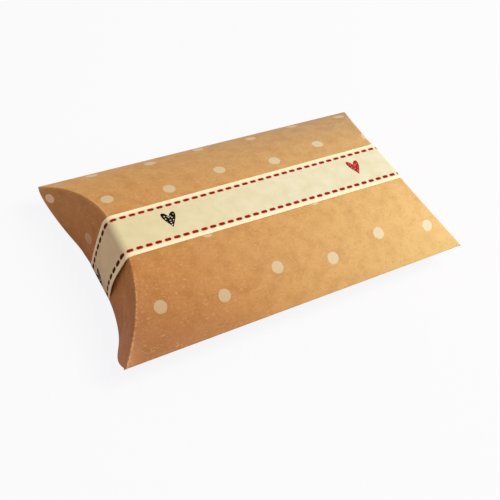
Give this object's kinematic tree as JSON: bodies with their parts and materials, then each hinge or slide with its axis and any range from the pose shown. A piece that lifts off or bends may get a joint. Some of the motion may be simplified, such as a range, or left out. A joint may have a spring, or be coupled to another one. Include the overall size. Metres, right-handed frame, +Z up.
{
  "type": "favor box",
  "caption": "Pillow-shaped favor box of folded card with curved end flaps that hinge open, closed by a paper band wrapped lengthwise round it and glued to itself under the base.",
  "frame": {"origin": "middle of the box's footprint, on the surface that it rests on", "axes": "+X along the box's length, +Y across it towards the back, where the glued seam is, +Z up"},
  "size_m": [0.127, 0.0744, 0.0221],
  "materials": {
    "printed_card": "matt kraft card printed with pale dots",
    "plain_card": "matt unprinted kraft card",
    "band_paper": "matt cream paper",
    "glue": "clear dried glue"
  },
  "bodies": {
    "box": {"top_panel": "printed_card", "bottom_panel": "printed_card", "seam_tab": "plain_card", "seam_glue": "glue", "band_top": "band_paper", "band_left_under": "band_paper", "band_right_under": "band_paper", "band_glue": "glue"},
    "left_flap": {"left_outer_flap": "printed_card", "band_left_end": "band_paper"},
    "right_flap": {"right_outer_flap": "printed_card", "band_right_end": "band_paper"},
    "left_inner_flap": {"left_inner_flap": "printed_card"},
    "right_inner_flap": {"right_inner_flap": "printed_card"}
  },
  "joints": [
    {"name": "left_flap_fold", "type": "hinge", "parent": "box", "child": "left_flap", "pos_m": [-0.051, 0, 0.02205], "axis": [0, 1, 0], "range_deg": [0, 75]},
    {"name": "left_inner_flap_fold", "type": "hinge", "parent": "box", "child": "left_inner_flap", "pos_m": [-0.05482, 0, 0.0006], "axis": [0, -1, 0], "range_deg": [0, 52.5]},
    {"name": "right_flap_fold", "type": "hinge", "parent": "box", "child": "right_flap", "pos_m": [0.051, 0, 0.02205], "axis": [0, -1, 0], "range_deg": [0, 75]},
    {"name": "right_inner_flap_fold", "type": "hinge", "parent": "box", "child": "right_inner_flap", "pos_m": [0.05482, 0, 0.0006], "axis": [0, 1, 0], "range_deg": [0, 52.5]}
  ],
  "couplings": [
    {"joint": "left_inner_flap_fold", "follows": "left_flap_fold", "ratio": 0.7},
    {"joint": "right_inner_flap_fold", "follows": "right_flap_fold", "ratio": 0.7}
  ]
}
